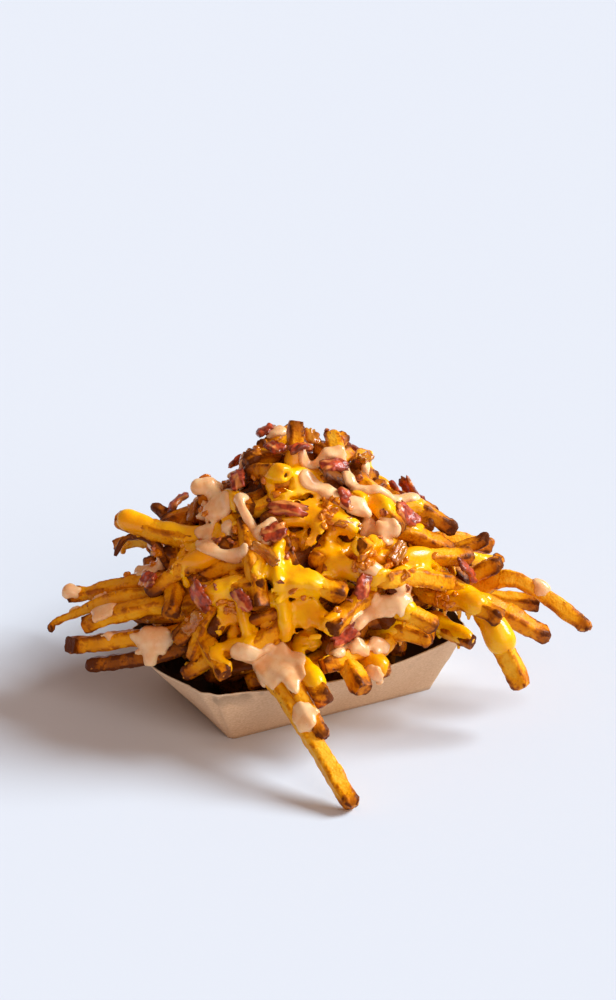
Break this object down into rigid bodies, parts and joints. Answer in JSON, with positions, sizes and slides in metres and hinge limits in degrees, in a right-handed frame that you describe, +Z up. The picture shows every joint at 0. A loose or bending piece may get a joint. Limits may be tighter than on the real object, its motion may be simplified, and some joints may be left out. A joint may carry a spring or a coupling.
{
  "type": "loaded fries",
  "caption": "Open paper boat heaped with long fried potato sticks under cheese sauce, pink sauce, chopped bacon and soft onion.",
  "frame": {"origin": "middle of the boat's flat underside", "axes": "+Z up out of the table, +X along the boat's long side, and the heap's show side looks out over the corner between -X and -Y"},
  "size_m": [0.2159, 0.211, 0.1262],
  "materials": {
    "kraft_paper": "uncoated brown kraft paper outside, dark with grease inside",
    "fried_potato": "golden fried potato, browned at the ends, slightly oily",
    "cheese_sauce": "smooth glossy cheese sauce",
    "bacon": "fried chopped bacon, red brown with pale fat",
    "soft_onion": "soft glossy browned onion"
  },
  "bodies": {
    "root": {"paper_boat": "kraft_paper", "fries": "fried_potato", "cheese_sauce_crest": "cheese_sauce", "cheese_sauce_pool": "cheese_sauce", "cheese_sauce_front_left": "cheese_sauce", "cheese_sauce_right": "cheese_sauce", "cheese_sauce_low_right": "cheese_sauce", "cheese_sauce_left": "cheese_sauce", "cheese_sauce_back": "cheese_sauce", "cheese_sauce_far_end": "cheese_sauce", "cheese_sauce_back_left": "cheese_sauce", "bacon_01": "bacon", "bacon_02": "bacon", "bacon_03": "bacon", "bacon_04": "bacon", "bacon_05": "bacon", "bacon_06": "bacon", "bacon_07": "bacon", "bacon_08": "bacon", "bacon_09": "bacon", "bacon_10": "bacon", "bacon_11": "bacon", "bacon_12": "bacon", "bacon_13": "bacon", "bacon_14": "bacon", "bacon_15": "bacon", "bacon_16": "bacon", "bacon_17": "bacon", "bacon_18": "bacon", "bacon_19": "bacon", "bacon_20": "bacon", "bacon_21": "bacon", "bacon_22": "bacon", "bacon_23": "bacon", "bacon_24": "bacon", "onion_01": "soft_onion", "onion_02": "soft_onion", "onion_03": "soft_onion", "onion_04": "soft_onion", "onion_05": "soft_onion", "onion_06": "soft_onion", "onion_07": "soft_onion", "onion_08": "soft_onion", "onion_09": "soft_onion", "onion_10": "soft_onion"}
  },
  "joints": []
}
